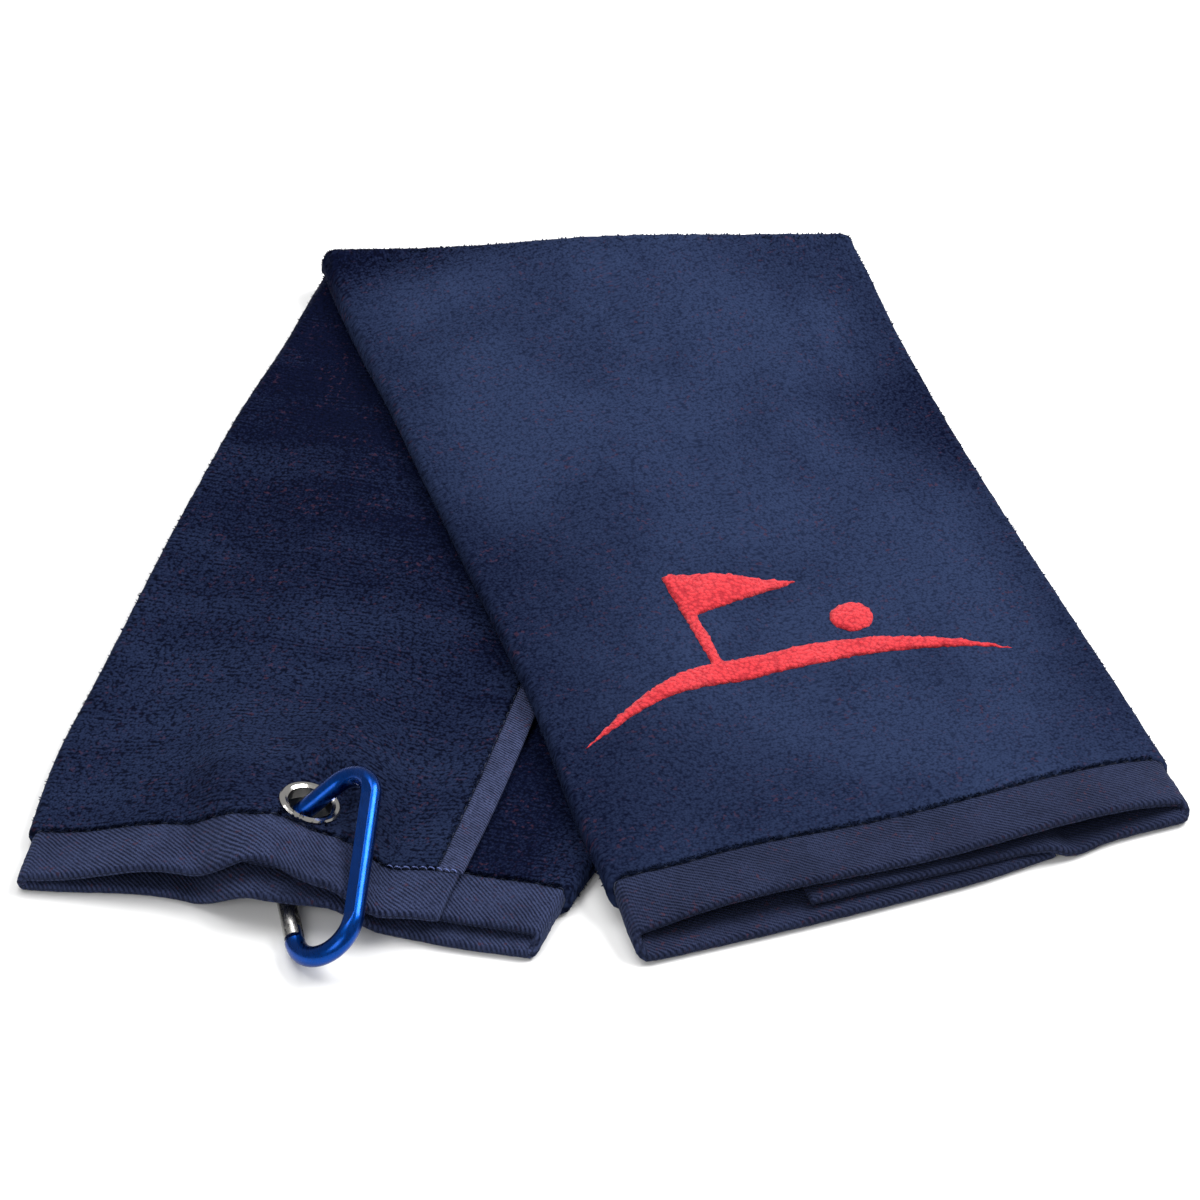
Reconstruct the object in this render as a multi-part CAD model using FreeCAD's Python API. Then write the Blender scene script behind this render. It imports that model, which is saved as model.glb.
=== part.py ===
import FreeCAD, Part
import math
import os

from FreeCAD import Rotation, Vector

# A golf towel folded lengthwise in thirds and then crosswise at mid-length.
# Its two legs are splayed; the lower leg carries a grommet and a carabiner.
# Frame: +X along the crosswise fold, -Y towards the hems, +Z up, origin on the
# surface that the towel lies on, just in front of the middle of the fold. Millimetres.

# the towel as it was cut, and its folds
TOWEL_LENGTH = 610.0
FOLDED_WIDTH = 165.0
OUTER_FLAP_WIDTH = 124.0
INNER_FLAP_WIDTH = 117.0
SPLAY = 17.3  # each leg's angle from the fold's normal, degrees
LAYER = 2.7
LAYER_GAP = 0.1
HEM_WIDTH = 18.5
HEM_LAYER = 3.3  # the turned end hem is thicker than the cloth
SIDE_HEM_WIDTH = 7.5
FOLD_Y = 12.0
FOLD_GAP = 0.3
LOWER_LEG_LENGTH = 302.0
FOLD_ALLOWANCE = 8.0  # the cloth that goes round the crosswise fold
LEG_CLEARANCE = 0.3

# the drop of the upper leg from the lower leg to the surface
DROP_START = 82.0
DROP_WIDTH = 26.0

# the lift of the lower leg's hem end over the carabiner's gate: a flat-topped
# ridge, given as corners from the hem's left round to the fold side
LIFT = 7.6
RIDGE_TOP = ((-93.0, -306.0), (-80.0, -306.0), (-70.0, -229.0), (-106.0, -229.0))
RIDGE_FOOT = ((-106.0, -306.0), (-71.0, -306.0), (-59.0, -209.0), (-120.0, -209.0))

# the grommet
GROMMET_BORE_R = 6.5
GROMMET_BARREL_R = 6.9
GROMMET_FLANGE_R = 8.9
GROMMET_FLARE_R = 7.9
GROMMET_CROWN = 0.9
GROMMET_CLAMP = 2.6
WASHER_THICK = 0.5
FLARE_THICK = 0.4
GROMMET_TILT = 16.8  # degrees, towards +X
GROMMET_TILT_BACK = 5.6  # degrees, towards the fold
GROMMET_CROWN_WIDTH = 1.0
GROMMET_ROOM_ABOVE_R = 12.0
GROMMET_ROOM_BELOW_R = 16.0
GROMMET_ON_ARM = 0.44  # where the grommet's middle is along the carabiner's arm

# the carabiner, drawn in its own plane: u runs along the spine, v from gate to spine
ROD_R = 2.9
BOTTOM_BEND_R = 10.1
SPINE_END_U = 49.6
TOP_BEND_R = 8.8
TOP_BEND_TURN = 119.7
NOSE_CORNER = (45.6, -13.3)
NOSE_BEND_R = 5.0
NOSE_STUB = 1.5
SPINE_FLAT = 2.3  # half the thickness between the spine's two flats
FLAT_RUNOUT = 5.0
CLIP_ORIGIN = (-86.7, -295.3, 1.2)
CLIP_LENGTHWISE = (0.1119, 0.9692, 0.2192)
CLIP_CROSSWISE = (0.8259, -0.2134, 0.5219)

# the gate
GATE_R = 2.8
GATE_BORE_R = 1.8
HINGE_GAP = 1.4
NOSE_GAP = 0.4
SLOT_WIDTH = 2.6
TONGUE_THICK = 2.0
TONGUE_LENGTH = 5.0
TONGUE_R = 2.4
RIVET_R = 0.9
RIVET_CLEARANCE = 0.05
RIVET_SETBACK = 3.0
PLUNGER_R = 1.5
PLUNGER_LENGTH = 5.0
SPRING_R = 1.4
SPRING_WIRE_R = 0.3
SPRING_LENGTH = 10.0
SPRING_PITCH = 1.4
GATE_SLOT_DEPTH = 7.0

# the red pile motif on the upper leg: a flag on a green, and a ball
EMBLEM_HEIGHT = 0.8
EMBLEM_MIDDLE = (-9.0, 195.0)  # across and along the upper leg
EMBLEM_TURN = 3.0
GREEN_HALF_LENGTH = 66.0
GREEN_SAG = 15.0
GREEN_THICK = 9.0
POLE_WIDTH = 3.6
POLE_HEIGHT = 44.0
POLE_ACROSS = -18.0
FLAG_LENGTH = 34.0
FLAG_HEIGHT = 20.0
BALL_R = 6.5
BALL_ACROSS = 27.0

STEP = LAYER + LAYER_GAP
STACK = 3 * STEP - LAYER_GAP
UPPER_FLOOR = STACK + LEG_CLEARANCE
PIVOT_Z = STACK + LEG_CLEARANCE / 2
UPPER_LEG_LENGTH = TOWEL_LENGTH - LOWER_LEG_LENGTH - FOLD_ALLOWANCE
BIG = 60.0
MARGIN = 1.0  # how far a cutting block reaches past what it cuts

parts = {}


class Leg:
    """One splayed leg. side is -1 for the lower leg and 1 for the upper one."""

    def __init__(self, side):
        turn = math.radians(SPLAY)
        self.side = side
        self.along = Vector(side * math.sin(turn), -math.cos(turn), 0)
        self.across = Vector(math.cos(turn), side * math.sin(turn), 0)

    def point(self, along, across, z=0.0):
        place = self.along * along + self.across * across
        return Vector(place.x, FOLD_Y + place.y, z)

    def fold_line(self, across):
        """How far along the leg the crosswise fold is, at that place across."""
        return self.side * across * math.tan(math.radians(SPLAY)) + FOLD_GAP


LOWER = Leg(-1)
UPPER = Leg(1)


def prism(corners):
    outline = [Vector(c.x, c.y, -MARGIN) for c in corners]
    face = Part.Face(Part.makePolygon(outline + outline[:1]))
    return face.extrude(Vector(0, 0, BIG))


def strip(leg, along, across):
    """A vertical block over one patch of a leg; along None starts at the fold."""
    start, end = along
    left, right = across
    first = leg.fold_line(left) if start is None else start
    second = leg.fold_line(right) if start is None else start
    return prism([leg.point(first, left), leg.point(end, left), leg.point(end, right), leg.point(second, right)])


def ridge(level):
    """The flat-topped ridge, standing on a level."""
    foot = [Vector(x, y, level) for x, y in RIDGE_FOOT]
    top = [Vector(x, y, level + LIFT) for x, y in RIDGE_TOP]
    rings = [Part.makePolygon(ring + ring[:1]) for ring in (foot, top)]
    return Part.makeLoft(rings, True, True)


def lower_layer(level, thick, block):
    """One thickness of the lower leg: flat, and lifted over the ridge."""
    reach = TOWEL_LENGTH
    slab = Part.makeBox(2 * reach, 2 * reach, thick, Vector(-reach, -reach, level))
    return slab.fuse(ridge(level + thick)).cut(ridge(level)).common(block)


def upper_layer(level, thick, block):
    """One thickness of the upper leg: it lies on the lower leg, then drops to the surface beside it."""
    reach = TOWEL_LENGTH
    end = DROP_START + DROP_WIDTH
    low = [(-reach, UPPER_FLOOR), (DROP_START, UPPER_FLOOR), (end, 0.0), (reach, 0.0)]
    profile = [(q, z + level) for q, z in low] + [(q, z + level + thick) for q, z in reversed(low)]
    start = LOWER.point(-reach, 0)
    outline = [start + LOWER.across * q + Vector(0, 0, z) for q, z in profile]
    face = Part.Face(Part.makePolygon(outline + outline[:1]))
    return face.extrude(LOWER.along * (3 * reach)).common(block)


def biggest(shape):
    return max(shape.Solids, key=lambda one: one.Volume)


def flap_spans():
    half = FOLDED_WIDTH / 2
    return {
        "middle": (-half, half),
        "inner": (half - INNER_FLAP_WIDTH, half),
        "outer": (-half, OUTER_FLAP_WIDTH - half),
    }


LEVELS = {"middle": 0, "inner": 1, "outer": 2}
PANEL_NAMES = {"middle": "middle_panel", "inner": "inner_flap", "outer": "outer_flap"}


def make_leg(name, leg, layer, length):
    """The three thicknesses of one leg, each with a thicker hem at its end."""
    for kind, span in flap_spans().items():
        order = LEVELS[kind] if leg is LOWER else LEVELS["outer"] - LEVELS[kind]
        cloth = strip(leg, (None, length - HEM_WIDTH), span)
        parts[f"{name}_{PANEL_NAMES[kind]}"] = biggest(layer(order * STEP, LAYER, cloth))
        hem = strip(leg, (length - HEM_WIDTH, length), span)
        hem_level = order * (HEM_LAYER + LAYER_GAP)
        parts[f"{name}_{kind}_end_hem"] = biggest(layer(hem_level, HEM_LAYER, hem))


def make_side_hems():
    """The narrow turned hem on the free long edge of the two outer flaps."""
    free_edge = OUTER_FLAP_WIDTH - FOLDED_WIDTH / 2
    for name, leg in (("lower", LOWER), ("upper", UPPER)):
        flap = parts[f"{name}_outer_flap"]
        edge = strip(leg, (None, TOWEL_LENGTH), (free_edge - SIDE_HEM_WIDTH, free_edge + STEP))
        parts[f"{name}_side_hem"] = biggest(flap.common(edge))
        parts[f"{name}_outer_flap"] = biggest(flap.cut(edge))


def make_fold():
    """The crosswise fold: three half-round rolls, one inside the other."""
    stretch = 1.0 / math.cos(math.radians(SPLAY))
    for kind, (left, right) in flap_spans().items():
        outer = PIVOT_Z - LEVELS[kind] * STEP
        inner = outer - LAYER
        start = Vector(left * stretch, FOLD_Y, PIVOT_Z)
        length = (right - left) * stretch
        roll = Part.makeCylinder(outer, length, start, Vector(1, 0, 0))
        if inner > LAYER_GAP:
            roll = roll.cut(Part.makeCylinder(inner, length, start, Vector(1, 0, 0)))
        back = Part.makeBox(length, BIG, BIG, Vector(start.x, FOLD_Y, PIVOT_Z - BIG / 2))
        parts[f"fold_{PANEL_NAMES[kind]}"] = roll.common(back).Solids[0]


def emblem_outline():
    """The motif's three shapes, flat, with x across the leg and y towards the fold."""
    chord = Vector(GREEN_HALF_LENGTH, 0, 0)
    low = Part.Arc(-chord, Vector(0, GREEN_SAG, 0), chord).toShape()
    high = Part.Arc(chord, Vector(0, GREEN_SAG + GREEN_THICK, 0), -chord).toShape()
    green = Part.Face(Part.Wire([low, high]))
    foot = GREEN_SAG + GREEN_THICK / 2
    pole = Part.makePlane(POLE_WIDTH, POLE_HEIGHT, Vector(POLE_ACROSS, foot, 0))
    top = foot + POLE_HEIGHT
    root = POLE_ACROSS + POLE_WIDTH / 2
    tip = Vector(root + FLAG_LENGTH, top - FLAG_HEIGHT / 2, 0)
    flag_points = [Vector(root, top, 0), Vector(root, top - FLAG_HEIGHT, 0), tip, Vector(root, top, 0)]
    flag = Part.Face(Part.makePolygon(flag_points))
    ball_place = Vector(BALL_ACROSS, GREEN_SAG + GREEN_THICK + BALL_R / 2, 0)
    ball = Part.Face(Part.Wire(Part.makeCircle(BALL_R, ball_place)))
    return [green, pole, flag, ball]


def make_emblem():
    """The raised red pile, on top of the upper leg."""
    across, along = EMBLEM_MIDDLE
    blocks = []
    for shape in emblem_outline():
        shape.translate(Vector(0, -(GREEN_SAG + POLE_HEIGHT) / 2, -MARGIN))
        shape.rotate(Vector(0, 0, 0), Vector(0, 0, 1), SPLAY + EMBLEM_TURN)
        shape.translate(UPPER.point(along, across))
        blocks.append(shape.extrude(Vector(0, 0, BIG)))
    block = blocks[0].fuse(blocks[1:])
    parts["emblem"] = upper_layer(STACK, EMBLEM_HEIGHT, block)


def unit(values):
    return Vector(*values).normalize()


def clip_axes():
    along = unit(CLIP_LENGTHWISE)
    across = Vector(*CLIP_CROSSWISE)
    across = (across - along * across.dot(along)).normalize()
    return along, across, along.cross(across)


def clip_placement():
    along, across, normal = clip_axes()
    rotation = Rotation(along, across, normal, "XYZ")
    return FreeCAD.Placement(Vector(*CLIP_ORIGIN), rotation)


def in_plane(u, v):
    return Vector(u, v, 0)


def gate_line():
    """Where the gate starts at the bottom bend's end, its direction and its length to the nose."""
    nose = in_plane(*NOSE_CORNER)
    middle = in_plane(BOTTOM_BEND_R, BOTTOM_BEND_R)
    lean = 0.0
    for _ in range(20):
        foot = middle - in_plane(math.sin(lean), math.cos(lean)) * BOTTOM_BEND_R
        run = nose - foot
        lean = math.atan2(-run.y, run.x)
    return foot, run.normalize(), (nose - foot).Length


def arc_between(start, corner, end, radius):
    """A tangent arc that rounds a corner, with the two points where it meets the lines."""
    back = (start - corner).normalize()
    on = (end - corner).normalize()
    half = back.getAngle(on) / 2
    reach = radius / math.tan(half)
    first = corner + back * reach
    last = corner + on * reach
    bisector = (back + on).normalize()
    crown = corner + bisector * (radius / math.sin(half) - radius)
    return first, crown, last


def rod_wire():
    """The rod's centre-line, from the gate's hinge round the spine to the nose."""
    foot, gate_way, _ = gate_line()
    r = BOTTOM_BEND_R
    spine_v = 2 * r
    bottom = Part.Arc(foot, in_plane(0, r), in_plane(r, spine_v))
    spine_end = in_plane(SPINE_END_U, spine_v)
    bend_middle = in_plane(SPINE_END_U, spine_v - TOP_BEND_R)
    turn = math.radians(TOP_BEND_TURN)
    crown = bend_middle + in_plane(math.sin(turn / 2), math.cos(turn / 2)) * TOP_BEND_R
    arm_start = bend_middle + in_plane(math.sin(turn), math.cos(turn)) * TOP_BEND_R
    nose = in_plane(*NOSE_CORNER)
    first, nose_crown, last = arc_between(arm_start, nose, foot, NOSE_BEND_R)
    stub_end = last - gate_way * NOSE_STUB
    edges = [
        bottom.toShape(),
        Part.makeLine(in_plane(r, spine_v), spine_end),
        Part.Arc(spine_end, crown, arm_start).toShape(),
        Part.makeLine(arm_start, first),
        Part.Arc(first, nose_crown, last).toShape(),
        Part.makeLine(last, stub_end),
    ]
    return Part.Wire(edges), stub_end


def spine_flats():
    """The two blocks that mill the spine flat, with sloping run-outs at their ends."""
    blocks = []
    start = BOTTOM_BEND_R
    end = SPINE_END_U
    for side in (-1, 1):
        near = side * SPINE_FLAT
        far = side * (ROD_R + MARGIN)
        runout = FLAT_RUNOUT * (abs(far) - abs(near)) / (ROD_R - SPINE_FLAT)
        corners = [(start, near), (end, near), (end + runout, far), (start - runout, far)]
        low = 2 * BOTTOM_BEND_R - ROD_R - MARGIN
        outline = [Vector(u, low, w) for u, w in corners]
        face = Part.Face(Part.makePolygon(outline + outline[:1]))
        blocks.append(face.extrude(Vector(0, 2 * (ROD_R + MARGIN), 0)))
    return blocks


def tongue(start, way, length):
    """A flat tongue along way, for a slot, with a rounded outline of the rod's width."""
    rod = Part.makeCylinder(TONGUE_R, length, start, way)
    slab = Part.makeBox(BIG * 2, BIG * 2, TONGUE_THICK, Vector(-BIG, -BIG, -TONGUE_THICK / 2))
    return rod.common(slab)


def gate_span():
    """Where the gate's tube starts and ends along the gate line, and the rivet's place."""
    foot, way, _ = gate_line()
    _, stub_end = rod_wire()
    start = foot + way * HINGE_GAP
    length = (stub_end - start).dot(way) - NOSE_GAP
    return start, way, length, start + way * RIVET_SETBACK


def make_carabiner_body():
    wire, stub_end = rod_wire()
    foot, way, _ = gate_line()
    ring = Part.Wire(Part.makeCircle(ROD_R, foot, way))
    rod = Part.Wire(wire.Edges).makePipeShell([ring], True, False)
    rod = rod.cut(spine_flats())
    _, _, _, rivet = gate_span()
    hinge_tongue = tongue(foot - way * MARGIN, way, TONGUE_LENGTH + MARGIN)
    latch_tongue = tongue(stub_end + way * MARGIN, -way, TONGUE_LENGTH)
    body = rod.fuse([hinge_tongue, latch_tongue])
    hole = Part.makeCylinder(RIVET_R + RIVET_CLEARANCE, 2 * ROD_R, rivet - Vector(0, 0, ROD_R))
    body = body.cut(hole).removeSplitter()
    parts["carabiner_body"] = body.Solids[0]


def make_gate():
    start, way, length, rivet = gate_span()
    tube = Part.makeCylinder(GATE_R, length, start, way)
    bore_length = length - GATE_SLOT_DEPTH - TONGUE_LENGTH - MARGIN
    bore = Part.makeCylinder(GATE_BORE_R, bore_length, start + way * MARGIN, way)
    end = start + way * length
    across = Vector(0, 0, 1).cross(way)
    slots = []
    for place, run in ((start - way * MARGIN, way), (end + way * MARGIN, -way)):
        depth = GATE_SLOT_DEPTH + MARGIN
        corners = [place - across * 2 * GATE_R, place + across * 2 * GATE_R]
        corners += [corners[1] + run * depth, corners[0] + run * depth]
        low = [c - Vector(0, 0, SLOT_WIDTH / 2) for c in corners]
        slots.append(Part.Face(Part.makePolygon(low + low[:1])).extrude(Vector(0, 0, SLOT_WIDTH)))
    rivet_hole = Part.makeCylinder(RIVET_R, 2 * GATE_R, rivet - Vector(0, 0, GATE_R))
    parts["gate_tube"] = tube.cut([bore, rivet_hole] + slots).Solids[0]
    parts["gate_rivet"] = Part.makeCylinder(RIVET_R, 2 * GATE_R, rivet - Vector(0, 0, GATE_R))
    plunger_start = start + way * (TONGUE_LENGTH + MARGIN)
    parts["gate_plunger"] = Part.makeCylinder(PLUNGER_R, PLUNGER_LENGTH, plunger_start, way)
    spring_start = plunger_start + way * (PLUNGER_LENGTH + SPRING_WIRE_R)
    helix = Part.makeHelix(SPRING_PITCH, SPRING_LENGTH, SPRING_R - SPRING_WIRE_R)
    wire_ring = Part.makeCircle(SPRING_WIRE_R, Vector(SPRING_R - SPRING_WIRE_R, 0, 0), Vector(0, 1, 0))
    spring = Part.Wire(helix).makePipeShell([Part.Wire(wire_ring)], True, True)
    spring.Placement = FreeCAD.Placement(spring_start, Rotation(Vector(0, 0, 1), way))
    parts["gate_spring"] = spring


def place_clip():
    placement = clip_placement()
    for name in ("carabiner_body", "gate_tube", "gate_rivet", "gate_plunger", "gate_spring"):
        shape = parts[name]
        matrix = placement.toMatrix() * shape.Placement.toMatrix()
        shape.Placement = FreeCAD.Placement(matrix)


def revolve(points):
    outline = [Vector(r, 0, w) for r, w in points]
    face = Part.Face(Part.makePolygon(outline + outline[:1]))
    return face.revolve(Vector(0, 0, 0), Vector(0, 0, 1), 360)


def grommet_placement():
    """The grommet's middle is on the carabiner's arm, where the arm passes through it."""
    placement = clip_placement()
    spine_v = 2 * BOTTOM_BEND_R
    turn = math.radians(TOP_BEND_TURN)
    bend_middle = in_plane(SPINE_END_U, spine_v - TOP_BEND_R)
    arm_start = bend_middle + in_plane(math.sin(turn), math.cos(turn)) * TOP_BEND_R
    nose = in_plane(*NOSE_CORNER)
    on_arm = placement.multVec(arm_start + (nose - arm_start) * GROMMET_ON_ARM)
    tilt = Rotation(Vector(0, 1, 0), GROMMET_TILT).multiply(Rotation(Vector(1, 0, 0), -GROMMET_TILT_BACK))
    return FreeCAD.Placement(on_arm, tilt)


def make_grommet():
    half = GROMMET_CLAMP / 2
    low = -half - WASHER_THICK
    bottom = low - FLARE_THICK
    crown = half + GROMMET_CROWN
    shoulder = (GROMMET_FLANGE_R + GROMMET_BARREL_R) / 2
    eyelet = revolve([
        (GROMMET_BORE_R, bottom + FLARE_THICK / 2),
        (GROMMET_BARREL_R, bottom),
        (GROMMET_FLARE_R, bottom),
        (GROMMET_FLARE_R, low),
        (GROMMET_BARREL_R, low),
        (GROMMET_BARREL_R, half),
        (GROMMET_FLANGE_R, half),
        (GROMMET_FLANGE_R, half + GROMMET_CROWN / 2),
        (shoulder + GROMMET_CROWN_WIDTH / 2, crown),
        (shoulder - GROMMET_CROWN_WIDTH / 2, crown),
        (GROMMET_BORE_R, half + GROMMET_CROWN / 2),
    ])
    washer = revolve([
        (GROMMET_BARREL_R, low),
        (GROMMET_FLANGE_R, low),
        (GROMMET_FLANGE_R, -half),
        (GROMMET_BARREL_R, -half),
    ])
    placement = grommet_placement()
    for name, shape in (("grommet_eyelet", eyelet), ("grommet_washer", washer)):
        shape.Placement = placement
        parts[name] = shape


def clear_grommet():
    """The cloth is pinched between the grommet's flanges, and cut away for its barrel."""
    half = GROMMET_CLAMP / 2
    above = Part.makeCylinder(GROMMET_ROOM_ABOVE_R, BIG / 2, Vector(0, 0, half))
    below = Part.makeCylinder(GROMMET_ROOM_BELOW_R, BIG / 2, Vector(0, 0, -half), Vector(0, 0, -1))
    barrel = Part.makeCylinder(GROMMET_BARREL_R, GROMMET_CLAMP + 2 * MARGIN, Vector(0, 0, -half - MARGIN))
    room = above.fuse([below, barrel])
    room.Placement = grommet_placement()
    for kind in ("middle_panel", "inner_flap", "outer_flap"):
        name = f"lower_{kind}"
        parts[name] = biggest(parts[name].cut(room))


make_leg("lower", LOWER, lower_layer, LOWER_LEG_LENGTH)
make_leg("upper", UPPER, upper_layer, UPPER_LEG_LENGTH)
make_side_hems()
make_fold()
make_emblem()
make_carabiner_body()
make_gate()
place_clip()
make_grommet()
clear_grommet()

os.makedirs("parts", exist_ok=True)
for name, shape in parts.items():
    shape.exportStep(f"parts/{name}.step")
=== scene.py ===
import math
import random

import bmesh
import bpy
import numpy as np
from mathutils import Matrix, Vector
from mathutils.geometry import delaunay_2d_cdt


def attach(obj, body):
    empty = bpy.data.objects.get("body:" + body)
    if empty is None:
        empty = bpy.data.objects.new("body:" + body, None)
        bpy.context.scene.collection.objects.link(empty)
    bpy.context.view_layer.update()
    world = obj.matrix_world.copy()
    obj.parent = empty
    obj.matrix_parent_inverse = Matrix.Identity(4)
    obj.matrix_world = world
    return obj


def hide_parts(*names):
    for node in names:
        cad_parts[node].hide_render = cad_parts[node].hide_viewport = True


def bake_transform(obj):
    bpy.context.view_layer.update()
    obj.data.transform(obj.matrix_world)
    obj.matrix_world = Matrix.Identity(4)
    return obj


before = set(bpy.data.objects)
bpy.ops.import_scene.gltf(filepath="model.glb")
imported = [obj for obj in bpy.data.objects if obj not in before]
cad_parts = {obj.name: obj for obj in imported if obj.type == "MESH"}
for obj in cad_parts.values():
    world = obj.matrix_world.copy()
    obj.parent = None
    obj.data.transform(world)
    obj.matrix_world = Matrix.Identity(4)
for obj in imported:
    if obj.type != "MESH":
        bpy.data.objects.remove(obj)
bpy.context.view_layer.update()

# A golf towel: one velour cloth folded lengthwise in thirds and then crosswise at
# mid-length, with splayed legs, a raised motif, a grommet and a carabiner.
# Lengths here are millimetres in the CAD frame; meshes are made in metres.

MM = 0.001
LEAST_DISTANCE = 0.1
LEAST_LENGTH = 1e-6

# the cloth as it was cut
TOWEL_WIDTH = 406.0
TOWEL_LENGTH = 610.0
OUTER_FLAP = 124.0
FOLDED_WIDTH = 165.0
END_HEM = 18.5
SIDE_HEM = 7.5
HALF_VELOUR = 1.4
HALF_END_HEM = 1.55
HALF_SIDE_HEM = 1.0
PITCH = 2.8  # from one layer's middle to the next
EDGE_BEND_R = 1.6  # the lengthwise folds' radius at the cloth's middle

# the fold and the two legs
SPLAY = math.radians(17.3)
FOLD_Y = 12.0
FOLD_AT = 307.0  # the crosswise fold's place along the cloth, at its middle
LOWER_END = 302.0
UPPER_END = 298.0
ROLL_EASE = 40.0  # how fast the roll's slack runs out along the legs
ROLL_TOP = 17.0
ROLL_REACH = 32.0  # how far along the legs the layers keep the roll's heights
LEAST_ROLL_R = 0.4
FOLD_BOW = -2.0
FOLD_BOW_LEFT = -5.5
FOLD_BOW_SPAN = (-45.0, 100.0)
FOLD_BOW_REACH = 45.0

# The curves below are sums of steps, as (height, start, end), and bells, as
# (height, middle, width). p runs across a leg, from left to right, and s along it.

# how far the long edges are drawn in, over s
LOWER_LEFT_DRAW = 1.2
LOWER_LEFT_STEPS = ((1.6, 150, 240), (7.0, 245, 322))
LOWER_LEFT_BELLS = ((2.4, 62, 32),)
LOWER_RIGHT_STEPS = ((8.5, 245, 315),)
LOWER_RIGHT_BELLS = ((1.0, 120, 50),)
UPPER_LEFT_STEPS = ((-2.6, 200, 270),)
UPPER_RIGHT_STEPS = ((-0.3, 255, 290),)
UPPER_RIGHT_BELLS = ((2.2, 130, 90),)
FOLD_CORNER_DRAW = 3.2
FOLD_CORNER_REACH = 16.0
EDGE_DRAW_POWER = 1.5
HEM_NARROWING = 0.018
HEM_EASE = 0.6
FLAP_FLARE = 8.0  # how much further the lower leg's outer flap reaches
FLAP_FLARE_SPAN = (60, 150)

# how far each layer's end lies beyond its leg's nominal end, over p
END_SPAN = (120, 285)
LOWER_END_LEFT = ((10.5, 20, 84),)
LOWER_MIDDLE_STEPS = ((-1.6, 5, 35), (-2.4, 45, 80))
LOWER_MIDDLE_BELLS = ((3.2, -8, 20),)
LOWER_OUTER_BACK = -0.5
LOWER_OUTER_STEPS = ((-3.5, 26, 41),)
LOWER_OUTER_BELLS = ((-4.5, -4, 10),)
LOWER_INNER_BACK = -10.0
LOWER_INNER_STEPS = ((4.5, 10, 40),)
UPPER_MIDDLE_BACK = -6.0
UPPER_MIDDLE_WAVE = (1.2, 20, 23)  # height, shift and length
UPPER_OUTER_WAVE = (0.8, 70, 30)
UPPER_OUTER_STEPS = ((-1.6, 12, 42),)
UPPER_INNER_BACK = -3.2
UPPER_INNER_BELLS = ((2.3, 45, 9),)

# how the layers stand apart at the open ends, and how wide a tent each one makes over
# the free edge of the one below
LOWER_MOUTH = (245, 292)
LOWER_GAPE_BELLS = ((2.6, -42, 26), (1.0, 26, 14))
LOWER_INNER_RISE = 1.3
LOWER_INNER_RISE_SPANS = ((0, 30), (62, 80))
CORNER_CURL = 0.9
CORNER_CURL_AT_END = 1.3
CORNER_CURL_SPAN = (255, 290)
CORNER_CURL_PLACE = (50, 7)
LOWER_TENT = 30.0
LIFT_SPREAD = 1.06  # the top layer's share of the lift over the gate
UPPER_MOUTH = (225, 284)
UPPER_TENTS = (40.0, 36.0)
UPPER_OUTER_TENT = 5.0
UNDER_TENTS = (30.0, 34.0)
UNDER_DROP = (80, 107)  # where the upper leg comes down beside the lower one
UPPER_INNER_RISE = 0.7
UPPER_INNER_RISE_PLACE = (-10, 30)
MOUTH_FLOOR = 1.5
MOUTH_HEIGHT = 5.2
MOUTH_POWER = 6
MOUTH_RIPPLE = 0.5
MOUTH_RIPPLE_LENGTH = 17.0
TENT_START = 2.0

# the soft unevenness of cloth folded by hand: height, lengths over x and y, and phase
WOBBLES = (
    (0.45, 23, 41, 0.0),
    (0.35, 37, -29, 1.3),
    (0.25, 13, 17, 0.6),
    (0.18, -19, 9, 0.0),
)
FULL_WOBBLE_HEIGHT = 10.0

# the lift of the lower leg over the carabiner's gate
GATE_LIFT = 7.6
GATE_X = -87.0
GATE_NEAR_Y = -300.0
GATE_FAR_Y = -238.0
GATE_NEAR_HALF = 6.5
GATE_FAR_HALF = 16.0
GATE_SLOPE = 17.0
GATE_RUNOUT = 48.0

# the grommet
GROMMET = (-82.44, -244.38, 11.63)
GROMMET_AXIS = (0.28765, 0.09758, 0.95275)
HOLE_R = 7.3
PINCH_R = 8.6
PINCH_END_R = 19.0
PINCHED_PITCH = 0.85
PINCHED_HALF = 0.4
FAR_FROM_GROMMET = 190.0

# the motif on the upper leg
MOTIF_ACROSS = -9.0
MOTIF_ALONG = 195.0
MOTIF_TURN = math.radians(3.0)
MOTIF_HEIGHT = 0.9
MOTIF_FOOT = 0.5
GREEN_HALF = 66.0
GREEN_SAG = 15.0
GREEN_THICK = 9.0
POLE_ACROSS = -18.0
POLE_WIDTH = 3.6
POLE_HEIGHT = 44.0
FLAG_LENGTH = 34.0
FLAG_HEIGHT = 20.0
BALL_R = 6.5
BALL_ACROSS = 27.0
GREEN_POINTS = 60
BALL_POINTS = 28
MOTIF_SPACING = 1.1
OUTLINE_JITTER = 0.3
GRID_JITTER = 0.2
HEIGHT_JITTER = 0.12
JITTER_FROM_RIM = 0.3
MOTIF_RIM_WIDTH = 1.6
MOTIF_RIM_HEIGHT = 0.15
ON_RIM = 0.02
SAME_POINT = 0.05
MOTIF_SUNK = 0.5
MOTIF_SEED = 11

CA = math.cos(SPLAY)
SA = math.sin(SPLAY)
TA = math.tan(SPLAY)
HALF_WIDTH = FOLDED_WIDTH / 2
INNER_CREASE = OUTER_FLAP + FOLDED_WIDTH
MIDDLE_LINE = OUTER_FLAP + HALF_WIDTH
INNER_FLAP = TOWEL_WIDTH - INNER_CREASE


# ---- the cloth's shape

def smooth(x, start, end):
    t = np.clip((x - start) / (end - start), 0, 1)
    return t * t * (3 - 2 * t)


def bell(x, middle, width):
    return np.exp(-((x - middle) / width) ** 2)


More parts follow.
